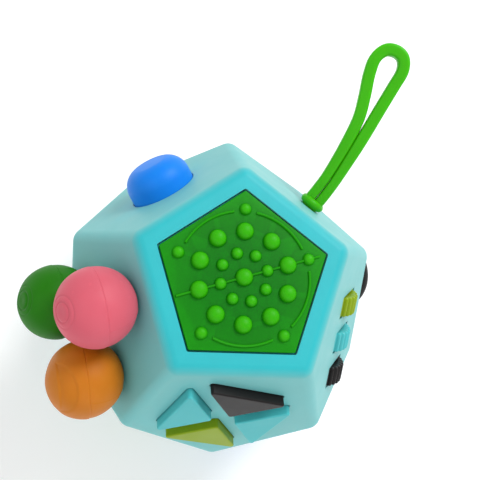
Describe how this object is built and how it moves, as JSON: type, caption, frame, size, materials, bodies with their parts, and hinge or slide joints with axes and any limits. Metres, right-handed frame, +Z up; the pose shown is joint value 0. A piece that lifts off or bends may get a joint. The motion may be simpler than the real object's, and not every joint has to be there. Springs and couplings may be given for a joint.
{
  "type": "twelve-sided fidget toy",
  "caption": "Palm-sized dodecahedron fidget toy with buttons, spinning balls, gear wheels, a joystick, dials, switches, a tactile pad and a rubber strap loop on its faces.",
  "frame": {"origin": "centre of the face that the toy rests on", "axes": "+Z up through the tactile pad face, +Y towards the corner of the pad opposite the face with the four keys, +X towards the face with the three gear wheels"},
  "size_m": [0.0807, 0.0838, 0.059],
  "materials": {
    "casing": "satin",
    "pad_green": "soft satin",
    "ball_green": "soft matt",
    "ball_pink": "soft matt",
    "ball_orange": "soft matt",
    "button_blue": "satin",
    "black": "satin",
    "black_rubber": "matt",
    "lime": "satin",
    "cyan": "satin",
    "dial_orange": "satin",
    "slider_pink": "satin",
    "ring_green": "satin",
    "inner_plastic": "natural moulded",
    "grey_plastic": "moulded",
    "membrane": "translucent silicone",
    "steel": "bright"
  },
  "bodies": {
    "casing": {"upper_shell": "casing", "lower_shell": "casing", "case_screw": "steel", "spin_hub": "casing", "touch_pad": "pad_green", "button_housing": "inner_plastic", "click_dome": "steel", "button_spring": "steel", "keypad_membrane": "membrane", "keypad_plate": "inner_plastic", "keypad_screw": "steel", "gear_axle": "steel", "gear_cradle": "inner_plastic", "strap_foot": "pad_green", "strap_clip": "steel", "joystick_housing": "inner_plastic", "joystick_spring": "steel", "slide_track": "inner_plastic", "rocker_pin": "steel", "rocker_frame": "inner_plastic", "thumb_dish": "button_blue"},
    "push_button": {"push_button": "button_blue"},
    "ball_pink": {"ball_pink": "ball_pink", "ball_clip_pink": "steel"},
    "ball_green": {"ball_green": "ball_green", "ball_clip_green": "steel"},
    "ball_orange": {"ball_orange": "ball_orange", "ball_clip_orange": "steel"},
    "key_black": {"key_black": "black"},
    "key_left": {"key_left": "cyan"},
    "key_lime": {"key_lime": "lime"},
    "key_right": {"key_right": "cyan"},
    "gear_black": {"gear_black": "black"},
    "gear_cyan": {"gear_cyan": "cyan"},
    "gear_lime": {"gear_lime": "lime"},
    "strap_loop": {"strap_loop": "pad_green"},
    "joystick_gimbal": {"joystick_gimbal": "inner_plastic"},
    "joystick": {"joystick_cap": "black_rubber", "joystick_lever": "grey_plastic"},
    "spin_dial": {"spin_dial": "dial_orange", "dial_clip": "steel"},
    "slide_knob": {"slide_knob": "slider_pink", "slide_carriage": "inner_plastic"},
    "rocker": {"rocker": "lime"},
    "spin_ring": {"spin_ring": "ring_green"}
  },
  "joints": [
    {"name": "push_button_press", "type": "slide", "parent": "casing", "child": "push_button", "axis": [0.5257, -0.7236, -0.4472], "range_m": [0, 0.002], "stiffness_N_per_m": 400, "springref_m": -0.0015, "deforming": ["button_spring"]},
    {"name": "ball_pink_spin", "type": "hinge", "parent": "casing", "child": "ball_pink", "pos_m": [-0.0204, -0.00427, 0.04864], "axis": [-0.8507, -0.2764, 0.4472], "continuous": true},
    {"name": "ball_green_spin", "type": "hinge", "parent": "casing", "child": "ball_green", "pos_m": [-0.02864, -0.00198, 0.03438], "axis": [-0.8507, -0.2764, 0.4472], "continuous": true},
    {"name": "ball_orange_spin", "type": "hinge", "parent": "casing", "child": "ball_orange", "pos_m": [-0.022, -0.01683, 0.03785], "axis": [-0.8507, -0.2764, 0.4472], "continuous": true},
    {"name": "key_black_press", "type": "slide", "parent": "casing", "child": "key_black", "axis": [0, 0.8944, -0.4472], "range_m": [0, 0.001], "stiffness_N_per_m": 600, "springref_m": -0.0008, "deforming": ["keypad_membrane"]},
    {"name": "key_left_press", "type": "slide", "parent": "casing", "child": "key_left", "axis": [0, 0.8944, -0.4472], "range_m": [0, 0.001], "stiffness_N_per_m": 600, "springref_m": -0.0008},
    {"name": "key_lime_press", "type": "slide", "parent": "casing", "child": "key_lime", "axis": [0, 0.8944, -0.4472], "range_m": [0, 0.001], "stiffness_N_per_m": 600, "springref_m": -0.0008},
    {"name": "key_right_press", "type": "slide", "parent": "casing", "child": "key_right", "axis": [0, 0.8944, -0.4472], "range_m": [0, 0.001], "stiffness_N_per_m": 600, "springref_m": -0.0008},
    {"name": "gear_black_spin", "type": "hinge", "parent": "casing", "child": "gear_black", "pos_m": [0.01977, -0.01459, 0.03318], "axis": [0.055, 0.8927, 0.4472], "continuous": true},
    {"name": "gear_cyan_spin", "type": "hinge", "parent": "casing", "child": "gear_cyan", "pos_m": [0.02019, -0.00772, 0.03662], "axis": [0.055, 0.8927, 0.4472], "continuous": true},
    {"name": "gear_lime_spin", "type": "hinge", "parent": "casing", "child": "gear_lime", "pos_m": [0.02062, -0.00084, 0.04006], "axis": [0.055, 0.8927, 0.4472], "continuous": true},
    {"name": "strap_bend", "type": "hinge", "parent": "casing", "child": "strap_loop", "pos_m": [0.01879, 0.02127, 0.04252], "axis": [-0.809, 0.5878, 0], "range_deg": [-45, 45], "stiffness_Nm_per_rad": 0.02},
    {"name": "joystick_tilt_sideways", "type": "hinge", "parent": "casing", "child": "joystick_gimbal", "pos_m": [0.02053, 0.00583, 0.0183], "axis": [0.4253, 0.1382, 0.8944], "range_deg": [-10, 10], "stiffness_Nm_per_rad": 0.08},
    {"name": "joystick_tilt_up", "type": "hinge", "parent": "joystick_gimbal", "child": "joystick", "pos_m": [0.02053, 0.00583, 0.0183], "axis": [-0.309, 0.9511, 0], "range_deg": [-10, 10], "stiffness_Nm_per_rad": 0.08, "deforming": ["joystick_spring"]},
    {"name": "spin_dial_turn", "type": "hinge", "parent": "casing", "child": "spin_dial", "pos_m": [0, 0.0249, 0.01539], "axis": [0, 0.8944, -0.4472], "continuous": true},
    {"name": "slide_knob_travel", "type": "slide", "parent": "casing", "child": "slide_knob", "axis": [-0.309, -0.9511, 0], "range_m": [-0.0035, 0.0035]},
    {"name": "rocker_tilt", "type": "hinge", "parent": "casing", "child": "rocker", "pos_m": [-0.01379, -0.01899, 0.0161], "axis": [0.809, -0.5878, 0], "range_deg": [-10, 10]},
    {"name": "spin_ring_turn", "type": "hinge", "parent": "casing", "child": "spin_ring", "pos_m": [0, 0, 0], "axis": [0, 0, 1], "continuous": true}
  ]
}
